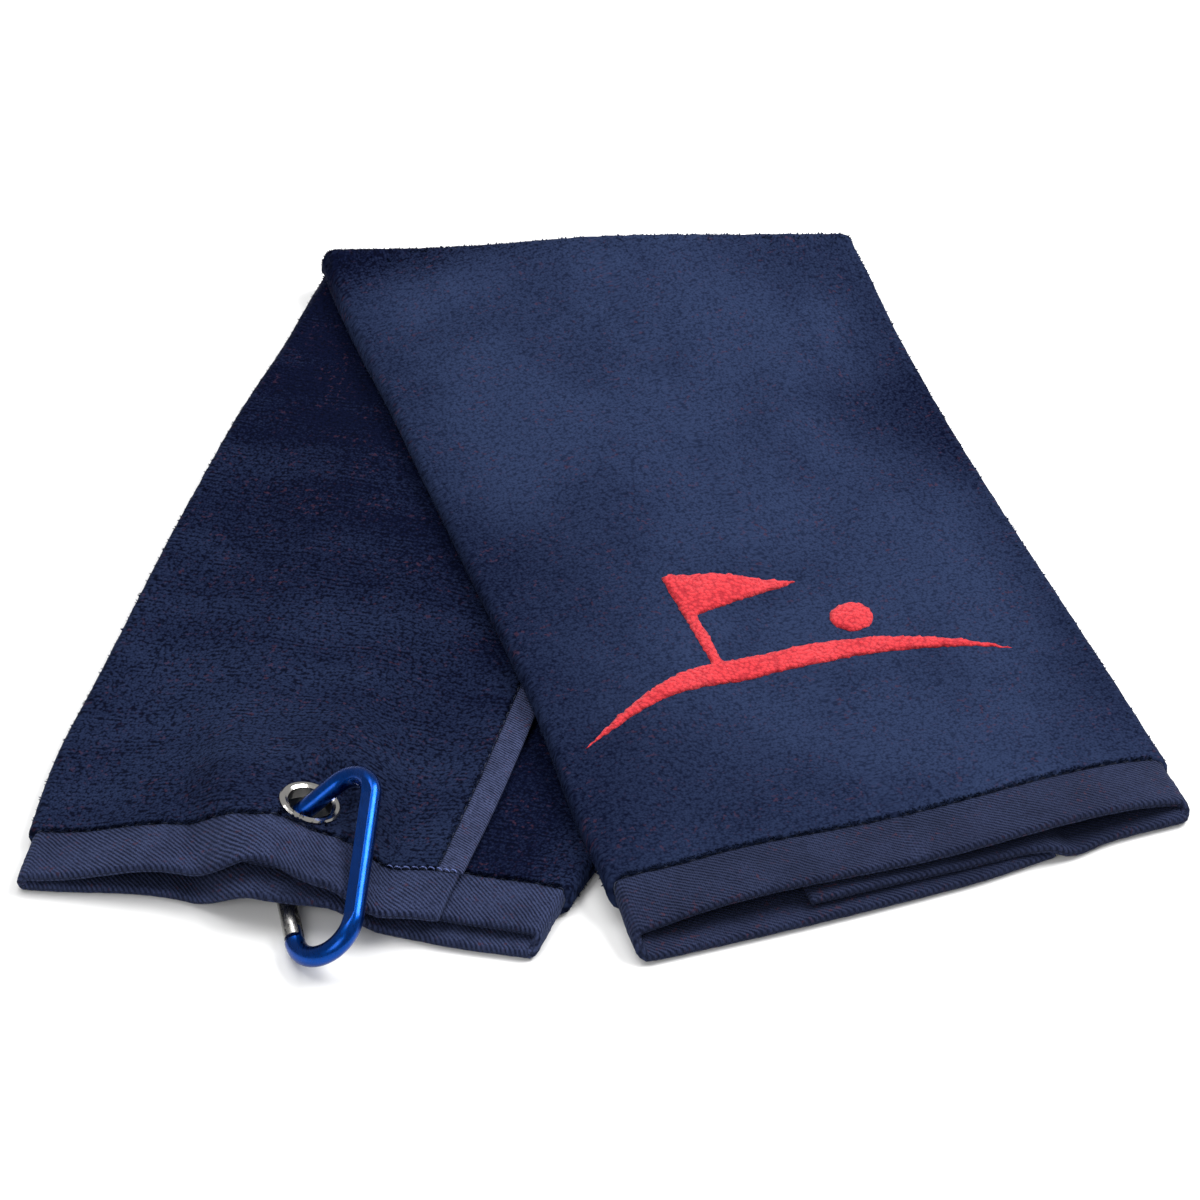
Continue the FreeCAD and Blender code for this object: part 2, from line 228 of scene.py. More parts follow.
def wave(x, height, shift, length):
    return height * np.sin((x + shift) / length)


def curve(x, steps=(), bells=()):
    """A sum of steps and bells over x."""
    total = 0 * x
    for height, start, end in steps:
        total = total + height * smooth(x, start, end)
    for height, middle, width in bells:
        total = total + height * bell(x, middle, width)
    return total


def across_place(a):
    """Where a line of the flat cloth lies across the folded width; also its share as
    a flap (0 on the middle panel, 1 on a flap) and whether that is the outer flap."""
    outer = a < MIDDLE_LINE
    side = np.where(outer, -1.0, 1.0)
    crease = np.where(outer, OUTER_FLAP, INNER_CREASE)
    past = (a - crease) * side
    reach = math.pi / 2 * EDGE_BEND_R
    turn = np.clip(past / EDGE_BEND_R, -math.pi / 2, math.pi / 2)
    middle = HALF_WIDTH - EDGE_BEND_R
    bent = middle + EDGE_BEND_R * np.cos(turn)
    flat = middle - (np.abs(past) - reach)
    rounded = np.abs(past) < reach
    p = side * np.where(rounded, bent, flat)
    share = np.where(rounded, 0.5 + 0.5 * np.sin(turn), np.where(past > 0, 1.0, 0.0))
    return p, share, outer


def inner_there(p, tent):
    """1 where the inner flap lies in the stack, falling to 0 beyond its free edge, over
    as long a tent as the cloth on top of it makes."""
    edge = HALF_WIDTH - INNER_FLAP
    return smooth(p, edge - tent, edge + TENT_START)


def outer_there(p, tent):
    edge = OUTER_FLAP - HALF_WIDTH
    return 1 - smooth(p, edge - TENT_START, edge + tent)


def gate_lift(x, y):
    along = np.clip((y - GATE_NEAR_Y) / (GATE_FAR_Y - GATE_NEAR_Y), 0, 1)
    half = GATE_NEAR_HALF + (GATE_FAR_HALF - GATE_NEAR_HALF) * along
    side = 1 - smooth(np.abs(x - GATE_X), half, half + GATE_SLOPE)
    return GATE_LIFT * side * (1 - smooth(y, GATE_FAR_Y, GATE_FAR_Y + GATE_RUNOUT))


def lower_heights(p, s, x, y):
    """Middle heights of the middle panel, the inner flap and the outer flap on the lower leg."""
    near_end = smooth(s, *LOWER_MOUTH)
    middle = PITCH / 2 + 0 * p
    rise, fall = LOWER_INNER_RISE_SPANS
    right_half = smooth(p, *rise) * (1 - smooth(p, *fall))
    inner = middle + PITCH + LOWER_INNER_RISE * near_end * right_half
    curl = CORNER_CURL + CORNER_CURL_AT_END * smooth(s, *CORNER_CURL_SPAN)
    outer = middle + PITCH * (1 + inner_there(p, LOWER_TENT))
    outer = outer + curve(p, bells=LOWER_GAPE_BELLS) * near_end + curl * bell(p, *CORNER_CURL_PLACE)
    lift = gate_lift(x, y)
    return middle + lift, inner + lift, outer + lift * LIFT_SPREAD


def upper_heights(p, s, x, y):
    """The same on the upper leg, where the order is turned over."""
    q = x * CA - (y - FOLD_Y) * SA
    inner_under = inner_there(q, UNDER_TENTS[0])
    outer_under = outer_there(q, UNDER_TENTS[1])
    under = PITCH * (1 + inner_under + outer_under) * (1 - smooth(q, *UNDER_DROP))
    near_end = smooth(s, *UPPER_MOUTH)
    outer = PITCH / 2 + 0 * p
    inner = PITCH / 2 + PITCH * outer_there(p, UPPER_OUTER_TENT)
    inner = inner + UPPER_INNER_RISE * near_end * bell(p, *UPPER_INNER_RISE_PLACE)
    middle = PITCH / 2 + PITCH * (inner_there(p, UPPER_TENTS[0]) + outer_there(p, UPPER_TENTS[1]))
    arch = 1 - (np.abs(p) / HALF_WIDTH) ** MOUTH_POWER
    ripple = MOUTH_RIPPLE * np.sin(p / MOUTH_RIPPLE_LENGTH)
    open_end = PITCH * MOUTH_FLOOR + MOUTH_HEIGHT * arch + ripple
    middle = middle * (1 - near_end) + open_end * near_end
    return middle + under, inner + under, outer + under


def pick(heights, share, outer):
    middle, inner, far = heights
    return (1 - share) * middle + share * np.where(outer, far, inner)


def edge_draw(p, s, away, lower):
    """The places across a leg, with its long edges drawn in so that they aren't ruler-straight."""
    low_left = LOWER_LEFT_DRAW + curve(s, LOWER_LEFT_STEPS, LOWER_LEFT_BELLS)
    low_right = curve(s, LOWER_RIGHT_STEPS, LOWER_RIGHT_BELLS)
    left = np.where(lower, low_left, curve(s, UPPER_LEFT_STEPS))
    right = np.where(lower, low_right, curve(s, UPPER_RIGHT_STEPS, UPPER_RIGHT_BELLS))
    draw = np.where(p < 0, left, right) + FOLD_CORNER_DRAW * np.exp(-away / FOLD_CORNER_REACH)
    return p * (1 - draw / HALF_WIDTH * (np.abs(p) / HALF_WIDTH) ** EDGE_DRAW_POWER)


def end_shift(p, share, outer, lower):
    """How far each layer's end lies beyond its leg's nominal end."""
    left = curve(-p, LOWER_END_LEFT)
    low_middle = left + curve(p, LOWER_MIDDLE_STEPS, LOWER_MIDDLE_BELLS)
    low_outer = left + LOWER_OUTER_BACK + curve(p, LOWER_OUTER_STEPS, LOWER_OUTER_BELLS)
    low_inner = low_middle + LOWER_INNER_BACK + curve(p, LOWER_INNER_STEPS)
    up_middle = UPPER_MIDDLE_BACK + wave(p, *UPPER_MIDDLE_WAVE)
    up_outer = wave(p, *UPPER_OUTER_WAVE) + curve(p, UPPER_OUTER_STEPS)
    up_inner = UPPER_INNER_BACK + curve(p, bells=UPPER_INNER_BELLS)
    low_flap = np.where(outer, low_outer, low_inner)
    up_flap = np.where(outer, up_outer, up_inner)
    flap = np.where(lower, low_flap, up_flap)
    panel = np.where(lower, low_middle, up_middle)
    return (1 - share) * panel + share * flap


def wobble(x, y):
    total = 0
    for height, over_x, over_y, phase in WOBBLES:
        total = total + height * np.sin(x / over_x + y / over_y + phase)
    return total


def leg_point(x, y, lower):
    """A place as across and along one leg."""
    dy = y - FOLD_Y
    across = np.where(lower, x * CA - dy * SA, x * CA + dy * SA)
    along = np.where(lower, -x * SA - dy * CA, x * SA - dy * CA)
    return across, along


def cloth(a, b):
    """The middle surface of the folded cloth, from the flat cloth's a across and b along.
    Returns the points, how far round the crosswise fold each one is (0 to 1), and what
    pinch says of them."""
    a, b = np.broadcast_arrays(np.asarray(a, float), np.asarray(b, float))
    p, share, outer = across_place(a)
    past = b - FOLD_AT - p * TA
    lower = past < 0
    s = np.abs(b - FOLD_AT)
    p = edge_draw(p, s, np.abs(past) * CA, lower)
    flare = FLAP_FLARE * smooth(s, *FLAP_FLARE_SPAN) * (p + HALF_WIDTH) / OUTER_FLAP
    p = p + np.where(outer & lower, share, 0) * flare
    hem = smooth(np.minimum(b, TOWEL_LENGTH - b), END_HEM + HEM_EASE, END_HEM - HEM_EASE)
    p = p * (1 - HEM_NARROWING * hem)
    x = p * CA + (b - FOLD_AT) * SA
    away = np.abs(b - FOLD_AT - p * TA) * CA
    slack = np.where(lower, FOLD_AT - LOWER_END, TOWEL_LENGTH - FOLD_AT - UPPER_END) * CA
    flat_y = FOLD_Y - away + slack
    move = end_shift(p, share, outer, lower) * smooth(s, *END_SPAN)
    move_x = np.where(lower, -SA, SA) * move
    move_y = -CA * move
    # the layers' heights along the legs
    q, along = leg_point(x + move_x, flat_y + move_y, lower)
    low = pick(lower_heights(q, along, x + move_x, flat_y + move_y), share, outer)
    high = pick(upper_heights(q, along, x + move_x, flat_y + move_y), share, outer)
    # and near the roll
    layers = [PITCH * (k + 0.5) + 0 * p for k in range(3)]
    low_fold = pick(layers, share, outer)
    high_fold = ROLL_TOP - low_fold
    near = np.exp(-away / ROLL_REACH)
    low = low * (1 - near) + low_fold * near
    high = high * (1 - near) + high_fold * near
    # the roll itself
    radius = np.maximum((high_fold - low_fold) / 2, LEAST_ROLL_R)
    reach = math.pi / 2 * radius
    turn = np.clip(np.where(lower, -away, away) / radius, -math.pi / 2, math.pi / 2)
    rolled = away < reach
    run = away - slack + (slack - reach) * np.exp(-np.maximum(away - reach, 0) / ROLL_EASE)
    y = FOLD_Y - np.where(rolled, -radius * np.cos(turn), run)
    flat_z = np.where(lower, low, high)
    z = np.where(rolled, (low_fold + high_fold) / 2 + radius * np.sin(turn), flat_z)
    x = x + move_x
    y = y + move_y
    bow = FOLD_BOW + FOLD_BOW_LEFT * smooth(-x, *FOLD_BOW_SPAN)
    y = y + bow * np.exp(-away / FOLD_BOW_REACH)
    z = z + wobble(x, y) * np.minimum(z, FULL_WOBBLE_HEIGHT) / FULL_WOBBLE_HEIGHT
    place, free, distance = pinch(np.stack([x, y, z], -1), share, outer, lower)
    return place, turn / math.pi + 0.5, free, distance


def pinch(place, share, outer, lower):
    """Presses the lower leg's three layers together between the grommet's flanges.
    Returns the new places, 1 where the cloth is free and 0 where it is clamped, and
    the distance from the grommet's axis, with the cloth kept outside its barrel."""
    offset = place - np.array(GROMMET)
    tilt = -(offset[..., 0] * GROMMET_AXIS[0] + offset[..., 1] * GROMMET_AXIS[1]) / GROMMET_AXIS[2]
    distance = np.sqrt(offset[..., 0] ** 2 + offset[..., 1] ** 2 + tilt ** 2)
    distance = np.where(lower, distance, FAR_FROM_GROMMET)
    free = smooth(distance, PINCH_R, PINCH_END_R)
    order = np.where(share < 0.5, -1.0, np.where(outer, 1.0, 0.0))
    held = GROMMET[2] + tilt + order * PINCHED_PITCH
    place[..., 2] = place[..., 2] * free + held * (1 - free)
    push = np.maximum(HOLE_R / np.maximum(distance, LEAST_DISTANCE), 1.0)
    place[..., 0] = GROMMET[0] + offset[..., 0] * push
    place[..., 1] = GROMMET[1] + offset[..., 1] * push
    return place, free, distance


# ---- meshes

COARSE_STEP = 2.8
FINE_STEP = 0.75
HEM_STEP = 1.5
NEAR_CREASE = 6.0
RIM_R = 1.3  # the cloth's free edges are rounded within this
RIM_GAP = 0.3
RIM_LINES = (0.0, 0.12, 0.4, 0.8, RIM_R)
SIDE_HEM_LINES = (2.4, 3.8, 5.1)
THINNEST_RIM = 0.12
FLOOR_GAP = 0.05
NORMAL_STEP = 0.35
ROUGH_SHARE = 0.10
WELT_SHARE = 0.10
WELT_PLACE = (2.2, 1.6)
SEAM_THINNING = 0.18
SEAM_THINNING_SPAN = (13.5, 8)
CORNER_THINNING = 0.1
CORNER_THINNING_SPAN = (2, 9)


def lines_between(runs):
    """Grid lines over several runs, each given as start, end and step."""
    values = []
    for start, end, step in runs:
        count = max(1, round((end - start) / step))
        values.extend(np.linspace(start, end, count, endpoint=False))
    values.append(runs[-1][1])
    return np.array(values)


def with_rims(start, end, runs):
    """Grid lines with closer ones at both rims, where the cloth's edge is rounded."""
    inside = lines_between(runs)
    margin = RIM_R + RIM_GAP
    inside = inside[(inside > start + margin) & (inside < end - margin)]
    first = [start + d for d in RIM_LINES]
    last = [end - d for d in reversed(RIM_LINES)]
    return np.array(first + list(inside) + last)


def new_object(name, points, faces, materials, uvs=None):
    """A mesh object from points in millimetres, with one UV for each point."""
    mesh = bpy.data.meshes.new(name)
    mesh.from_pydata((np.asarray(points, float) * MM).tolist(), [], [tuple(f) for f in faces])
    mesh.validate()
    for material in materials:
        mesh.materials.append(material)
    if uvs is not None:
        layer = mesh.uv_layers.new(name="cloth")
        corner = np.empty(len(mesh.loops), np.int32)
        mesh.loops.foreach_get("vertex_index", corner)
        layer.data.foreach_set("uv", (np.asarray(uvs, float) * MM)[corner].ravel())
    mesh.shade_smooth()
    built = bmesh.new()
    built.from_mesh(mesh)
    bmesh.ops.recalc_face_normals(built, faces=built.faces)
    built.to_mesh(mesh)
    built.free()
    obj = bpy.data.objects.new(name, mesh)
    bpy.context.scene.collection.objects.link(obj)
    return obj


def unit(vectors):
    return vectors / np.maximum(np.linalg.norm(vectors, axis=-1, keepdims=True), LEAST_LENGTH)


def surface_frame(a, b):
    """The middle surface with its normal, and the rest that cloth says of it."""
    step = NORMAL_STEP
    along_a = cloth(a + step, b)[0] - cloth(a - step, b)[0]
    along_b = cloth(a, b + step)[0] - cloth(a, b - step)[0]
    place, turn, free, distance = cloth(a, b)
    return place, unit(np.cross(along_a, along_b)), turn, free, distance


def rim_share(value, start, end):
    """0 at a piece's rim and 1 inside, along a quarter round."""
    inside = np.clip(np.minimum(value - start, end - value) / RIM_R, 0, 1)
    return np.sqrt(1 - (1 - inside) ** 2)


def fine_roughness(a, b):
    """A share of the thickness by which the pile's surface is uneven."""
    over_a = np.sin(a * 3.1 + 2.2 * np.sin(b / 2.3))
    over_b = np.sin(b * 2.7 + 2.0 * np.sin(a / 3.1))
    return ROUGH_SHARE * over_a * over_b


def cloth_piece(name, a_lines, b_lines, half, material):
    """A closed piece of the cloth: both faces over a grid, joined round every open edge.
    Returns it with each point's place round the crosswise fold."""
    a, b = np.meshgrid(a_lines, b_lines, indexing="ij")
    place, normal, turn, free, distance = surface_frame(a, b)
    rim = rim_share(a, a_lines[0], a_lines[-1]) * rim_share(b, b_lines[0], b_lines[-1])
    rim = THINNEST_RIM + (1 - THINNEST_RIM) * rim
    thick = half(a, b) * rim * (1 + fine_roughness(a, b))
    thick = PINCHED_HALF * (1 - free) + thick * free
    inner_face = place + normal * thick[..., None]
    outer_face = place - normal * thick[..., None]
    for face in (inner_face, outer_face):
        face[..., 2] = np.maximum(face[..., 2], FLOOR_GAP)
    index = np.arange(a.size).reshape(a.shape)
    corners = np.stack([index[:-1, :-1], index[1:, :-1], index[1:, 1:], index[:-1, 1:]], -1)
    corners = corners.reshape(-1, 4)
    open_hole = (distance.ravel() < HOLE_R)[corners].all(1)
    corners = corners[~open_hole]
    edge_list = np.concatenate([corners[:, [k, (k + 1) % 4]] for k in range(4)])
    key = np.sort(edge_list, 1)
    _, first, uses = np.unique(key, axis=0, return_index=True, return_counts=True)
    rim_edges = edge_list[first[uses == 1]]
    total = a.size
    faces = [tuple(f) for f in corners]
    faces += [tuple(f[::-1] + total) for f in corners]
    faces += [(e[1], e[0], e[0] + total, e[1] + total) for e in rim_edges]
    used = np.unique(corners)
    renumber = np.full(2 * total, -1)
    kept = np.concatenate([used, used + total])
    renumber[kept] = np.arange(len(kept))
    faces = [tuple(renumber[list(f)]) for f in faces]
    points = np.concatenate([inner_face.reshape(-1, 3), outer_face.reshape(-1, 3)])[kept]
    flat = np.stack([a.ravel(), b.ravel()], -1)
    uvs = np.concatenate([flat * (-1, 1), flat])[kept]
    weights = np.concatenate([turn.ravel(), turn.ravel()])[kept]
    return new_object(name, points, faces, [material], uvs), weights


def bend_over_fold(piece):
    """Bakes a piece's transform into its mesh."""
    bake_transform(piece)


def velour_half(a, b):
    """Half the velour's thickness, with a welt beside its seams."""
    from_end = np.minimum(b, TOWEL_LENGTH - b) - END_HEM
    from_side = np.minimum(a, TOWEL_WIDTH - a) - SIDE_HEM
    return HALF_VELOUR * (1 + WELT_SHARE * bell(np.minimum(from_end, from_side), *WELT_PLACE))


def end_hem_half(a, b):
    """Half an end hem's thickness, which falls towards the seam and the corners."""
    from_end = np.minimum(b, TOWEL_LENGTH - b)
    from_side = np.minimum(a, TOWEL_WIDTH - a)
    near_seam = 1 - SEAM_THINNING + SEAM_THINNING * smooth(from_end, *SEAM_THINNING_SPAN)
    near_corner = 1 - CORNER_THINNING + CORNER_THINNING * smooth(from_side, *CORNER_THINNING_SPAN)
    return HALF_END_HEM * near_seam * near_corner


def side_hem_half(a, b):
    return HALF_SIDE_HEM + 0 * a


def towel_pieces(looks):
    """The velour and the four hems."""
    near = NEAR_CREASE
    hem_seam = TOWEL_LENGTH - END_HEM
    side_seam = TOWEL_WIDTH - SIDE_HEM
    a_runs = [
        (0, OUTER_FLAP - near, COARSE_STEP),
        (OUTER_FLAP - near, OUTER_FLAP + near, FINE_STEP),
        (OUTER_FLAP + near, INNER_CREASE - near, COARSE_STEP),
        (INNER_CREASE - near, INNER_CREASE + near, FINE_STEP),
        (INNER_CREASE + near, TOWEL_WIDTH, COARSE_STEP),
    ]
    b_runs = [
        (0, END_HEM, HEM_STEP),
        (END_HEM, END_HEM + near, HEM_STEP),
        (END_HEM + near, hem_seam - near, COARSE_STEP),
        (hem_seam - near, TOWEL_LENGTH, HEM_STEP),
    ]
    a_all = with_rims(0, TOWEL_WIDTH, a_runs)
    a_inside = with_rims(SIDE_HEM, side_seam, a_runs)
    b_inside = with_rims(END_HEM, hem_seam, b_runs)
    velour, weights = cloth_piece("towel_velour", a_inside, b_inside, velour_half, looks["velour"])
    bend_over_fold(velour)
    hems = []
    for name, start, way in (("outer_side_hem", 0, 1), ("inner_side_hem", TOWEL_WIDTH, -1)):
        lines = [start + way * d for d in RIM_LINES + SIDE_HEM_LINES]
        lines += [start + way * (SIDE_HEM - d) for d in RIM_LINES]
        lines = np.array(sorted(lines))
        hem, weights = cloth_piece(name, lines, b_inside, side_hem_half, looks["side_hem"])
        bend_over_fold(hem)
        hems.append(hem)
    for name, start, end, body in (
        ("lower_end_hem", 0, END_HEM, "lower_leg"),
        ("upper_end_hem", hem_seam, TOWEL_LENGTH, "upper_leg"),
    ):
        hem, _ = cloth_piece(name, a_all, with_rims(start, end, b_runs), end_hem_half, looks["end_hem"])
        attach(hem, body)
        hems.append(hem)
    return velour, hems


def upper_leg_to_cloth(across, along):
    """The flat cloth's place under a point on top of the upper leg's middle panel."""
    return MIDDLE_LINE + across, TOWEL_LENGTH - UPPER_END + along


# ---- the motif

def motif_outlines():
    """The motif's shapes, flat: a flag on a green, and a ball."""
    crest = GREEN_SAG + GREEN_THICK
    line = np.linspace(-GREEN_HALF, GREEN_HALF, GREEN_POINTS)
    low = [(x, GREEN_SAG * (1 - (x / GREEN_HALF) ** 2)) for x in line]
    high = [(x, crest * (1 - (x / GREEN_HALF) ** 2)) for x in line[::-1]]
    green = low + high[1:-1]
    foot = GREEN_SAG + GREEN_THICK / 3
    top = foot + POLE_HEIGHT
    half = POLE_WIDTH / 2
    left = POLE_ACROSS - half
    right = POLE_ACROSS + half
    pole = [(left, foot), (right, foot), (right, top), (left, top)]
    hoist = right - 1
    flag = [(hoist, top), (hoist, top - FLAG_HEIGHT), (right + FLAG_LENGTH, top - FLAG_HEIGHT / 2)]
    ball_y = crest + BALL_R
    turns = [math.tau * k / BALL_POINTS for k in range(BALL_POINTS)]
    ball = [(BALL_ACROSS + BALL_R * math.cos(t), ball_y + BALL_R * math.sin(t)) for t in turns]
    return [green, pole, flag, ball]


def ragged(outline, spacing, jitter, chance):
    """An outline with points at even spacing, each moved a little, as pile tufts end it."""
    result = []
    for k, point in enumerate(outline):
        after = outline[(k + 1) % len(outline)]
        count = max(1, round(math.dist(point, after) / spacing))
        for step in range(count):
            t = step / count
            x = point[0] + (after[0] - point[0]) * t + chance.uniform(-jitter, jitter)
            y = point[1] + (after[1] - point[1]) * t + chance.uniform(-jitter, jitter)
            result.append((x, y))
    return result


def make_motif(look):
    """The raised motif: a ragged-edged pad of pile that lies on the upper leg."""
    chance = random.Random(MOTIF_SEED)
    middle = (GREEN_SAG + POLE_HEIGHT) / 2
    outlines = [ragged(o, MOTIF_SPACING, OUTLINE_JITTER, chance) for o in motif_outlines()]
    points = []
    faces_in = []
    for outline in outlines:
        faces_in.append(list(range(len(points), len(points) + len(outline))))
        points += [Vector((x, y - middle)) for x, y in outline]
    rows = int(2 * GREEN_HALF / MOTIF_SPACING)
    for i in range(rows + 1):
        for j in range(rows // 2 + 1):
            x = MOTIF_SPACING * (i + 0.5 * (j % 2)) + chance.uniform(-GRID_JITTER, GRID_JITTER)
            y = MOTIF_SPACING * j + chance.uniform(-GRID_JITTER, GRID_JITTER)
            points.append(Vector((x - GREEN_HALF, y - GREEN_HALF / 2)))
    flat, _, faces, _, _, _ = delaunay_2d_cdt(points, [], faces_in, 1, SAME_POINT)
    used = sorted({i for f in faces for i in f})
    place_of = {old: new for new, old in enumerate(used)}
    faces = [tuple(place_of[i] for i in f) for f in faces]
    flat = np.array([flat[i] for i in used])
    sides = {}
    for f in faces:
        for k in range(len(f)):
            edge = (f[k], f[(k + 1) % len(f)])
            sides[frozenset(edge)] = None if frozenset(edge) in sides else edge
    rim = [edge for edge in sides.values() if edge is not None]
    rim_points = flat[[e[0] for e in rim]]
    far = np.sqrt(((flat[:, None, :] - rim_points[None]) ** 2).sum(-1)).min(1)
    turn = MOTIF_TURN
    across = MOTIF_ACROSS + flat[:, 0] * math.cos(turn) - flat[:, 1] * math.sin(turn)
    along = MOTIF_ALONG - flat[:, 0] * math.sin(turn) - flat[:, 1] * math.cos(turn)
    a, b = upper_leg_to_cloth(across, along)
    place, normal, _, _, _ = surface_frame(a, b)
    lift = MOTIF_FOOT + (MOTIF_HEIGHT - MOTIF_FOOT) * np.sqrt(np.clip(far / MOTIF_RIM_WIDTH, 0, 1))
    lift = np.where(far < ON_RIM, MOTIF_RIM_HEIGHT, lift)
    stray = np.array([chance.uniform(-HEIGHT_JITTER, HEIGHT_JITTER) for _ in lift])
    lift += stray * (far > JITTER_FROM_RIM)
    top = place - normal * (HALF_VELOUR + lift)[:, None]
    low = place - normal * (HALF_VELOUR - MOTIF_SUNK)
    count = len(flat)
    body = list(faces)
    body += [tuple(i + count for i in reversed(f)) for f in faces]
    body += [(e[1], e[0], e[0] + count, e[1] + count) for e in rim]
    uvs = np.stack([a, b], -1)
    points = np.concatenate([top, low])
    motif = new_object("pile_motif", points, body, [look], np.concatenate([uvs, uvs]))
    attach(motif, "upper_leg")
    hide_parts("emblem")
    return motif


# ---- sewing and pile

STITCH_LENGTH = 2.6
STITCH_PITCH = 3.8
STITCH_HEIGHT = 0.87
THREAD_R = 0.19
SIDE_THREAD_R = 0.16
THREAD_SIDES = 6
# a stitch's share of its length and its rise there
THREAD_SHAPE = ((0.0, -0.6), (0.2, 0.0), (0.5, 0.12), (0.8, 0.0), (1.0, -0.6))
LOOSE_STITCHES = 9
LOOSE_PITCH = 2.2
LOOSE_START = 0.6
LOOSE_SLANT = 0.3
LOOSE_HEIGHT = 1.7
LOOSE_R = 0.2

SEAM_TUFTS = 9000
SEAM_TUFT_DEPTHS = (0.1, 1.9)
SIDE_TUFTS = 3000
SIDE_TUFT_DEPTHS = (0.4, 1.6)
NO_TUFTS_BY_CREASE = 4.0
CREASE_TUFTS = 2600
CREASE_REACH = 4.5
FOLD_TUFTS = 2200
FOLD_REACH = 18.0
TUFT_R = 0.36
TUFT_SIDES = 3
TUFT_LENGTHS = (0.6, 1.15)
TUFT_STRAY = 0.4
TUFT_FOOT = 0.75  # the foot's height as a share of half the velour
TUFT_STEP = 0.5
TIP_FLOOR = 0.1
SEAM_SEED = 5
EDGE_SEED = 8


def stitch_mesh(name, stitches, look, radius, height=STITCH_HEIGHT):
    """Short lengths of thread, each a small bent tube with sunk ends. A stitch is its
    two ends on the flat cloth and the face it shows on."""
    points = []
    faces = []
    weights = []
    sides = THREAD_SIDES
    starts = np.array([s[0] for s in stitches])
    ends = np.array([s[1] for s in stitches])
    face = np.array([s[2] for s in stitches])
    rings = []
    for share, rise in THREAD_SHAPE:
        spot = starts + (ends - starts) * share
        place, normal, turn, _, _ = surface_frame(spot[:, 0], spot[:, 1])
        middle = place + normal * (face * (height + rise))[:, None]
        rings.append((middle, normal, turn))
    for k in range(len(stitches)):
        base = len(points)
        way = unit(rings[-1][0][k] - rings[0][0][k])
        for middle, normal, turn in rings:
            side = unit(np.cross(way, normal[k]))
            up = np.cross(side, way)
            for n in range(sides):
                t = math.tau * n / sides
                points.append(middle[k] + radius * (math.cos(t) * side + math.sin(t) * up))
                weights.append(turn[k])
        last = len(rings) - 1
        for ring in range(last):
            for n in range(sides):
                first = base + ring * sides + n
                second = base + ring * sides + (n + 1) % sides
                faces.append((first, second, second + sides, first + sides))
        faces.append(tuple(base + n for n in reversed(range(sides))))
        faces.append(tuple(base + last * sides + n for n in range(sides)))
    return new_object(name, points, faces, [look]), np.array(weights)


def stitch_row(start, end, at, along_a):
    """A row of stitches on both faces, along an end hem's seam or up a side hem's."""
    row = []
    while start < end:
        after = start + STITCH_LENGTH
        ends = ((start, at), (after, at)) if along_a else ((at, start), (at, after))
        row += [(*ends, face) for face in (-1, 1)]
        start += STITCH_PITCH
    return row


def make_stitching(looks):
    """The hems' sewing, and a pale thread end at the lower hem's corner."""
    pieces = []
    hem_seam = TOWEL_LENGTH - END_HEM
    for name, b, body in (
        ("lower_hem_stitching", END_HEM, "lower_leg"),
        ("upper_hem_stitching", hem_seam, "upper_leg"),
    ):
        row = stitch_row(2, TOWEL_WIDTH - 5, b, True)
        piece, _ = stitch_mesh(name, row, looks["thread"], THREAD_R)
        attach(piece, body)
        pieces.append(piece)
    for name, a in (
        ("outer_side_stitching", SIDE_HEM),
        ("inner_side_stitching", TOWEL_WIDTH - SIDE_HEM),
    ):
        row = stitch_row(END_HEM + 2, hem_seam - 4, a, False)
        piece, weights = stitch_mesh(name, row, looks["thread"], SIDE_THREAD_R)
        bend_over_fold(piece)
        pieces.append(piece)
    loose = []
    for k in range(LOOSE_STITCHES):
        a = LOOSE_START + LOOSE_PITCH * k
        loose.append(((a, END_HEM - LOOSE_SLANT), (a + STITCH_LENGTH, END_HEM + LOOSE_SLANT), -1))
    piece, _ = stitch_mesh("pale_thread_end", loose, looks["pale_thread"], LOOSE_R, LOOSE_HEIGHT)
    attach(piece, "lower_leg")
    pieces.append(piece)
    return pieces


def tuft_mesh(name, spots, look, length, lean):
    """Small pointed tufts standing on the cloth. A spot is a, b, the face, and which way
    the tuft leans on the flat cloth."""
    chance = random.Random(name)
    a = np.array([s[0] for s in spots])
    b = np.array([s[1] for s in spots])
    face = np.array([s[2] for s in spots])
    lean_a = np.array([s[3] for s in spots]) * lean
    lean_b = np.array([s[4] for s in spots]) * lean
    place, normal, turn, _, _ = surface_frame(a, b)
    way_a = unit(cloth(a + TUFT_STEP, b)[0] - place)
    way_b = unit(cloth(a, b + TUFT_STEP)[0] - place)
    out = normal * face[:, None]
    stray = np.array([[chance.uniform(-TUFT_STRAY, TUFT_STRAY) for _ in range(2)] for _ in spots])
    lean_way = way_a * (lean_a + stray[:, 0])[:, None] + way_b * (lean_b + stray[:, 1])[:, None]
    direction = unit(out + lean_way)
    foot = place + out * (HALF_VELOUR * TUFT_FOOT)
    reach = np.array([length * chance.uniform(*TUFT_LENGTHS) for _ in spots])[:, None]
    tip = foot + direction * reach
    tip[:, 2] = np.maximum(tip[:, 2], TIP_FLOOR)
    sides = TUFT_SIDES
    points = []
    faces = []
    weights = []
    uvs = []
    for k in range(len(spots)):
        base = len(points)
        spin = chance.uniform(0, math.tau)
        for n in range(sides):
            t = spin + math.tau * n / sides
            points.append(foot[k] + TUFT_R * (math.cos(t) * way_a[k] + math.sin(t) * way_b[k]))
        points.append(tip[k])
        weights += [turn[k]] * (sides + 1)
        uvs += [(a[k], b[k])] * (sides + 1)
        faces += [(base + n, base + (n + 1) % sides, base + sides) for n in range(sides)]
        faces.append(tuple(base + n for n in reversed(range(sides))))
    return new_object(name, points, faces, [look], uvs), np.array(weights)


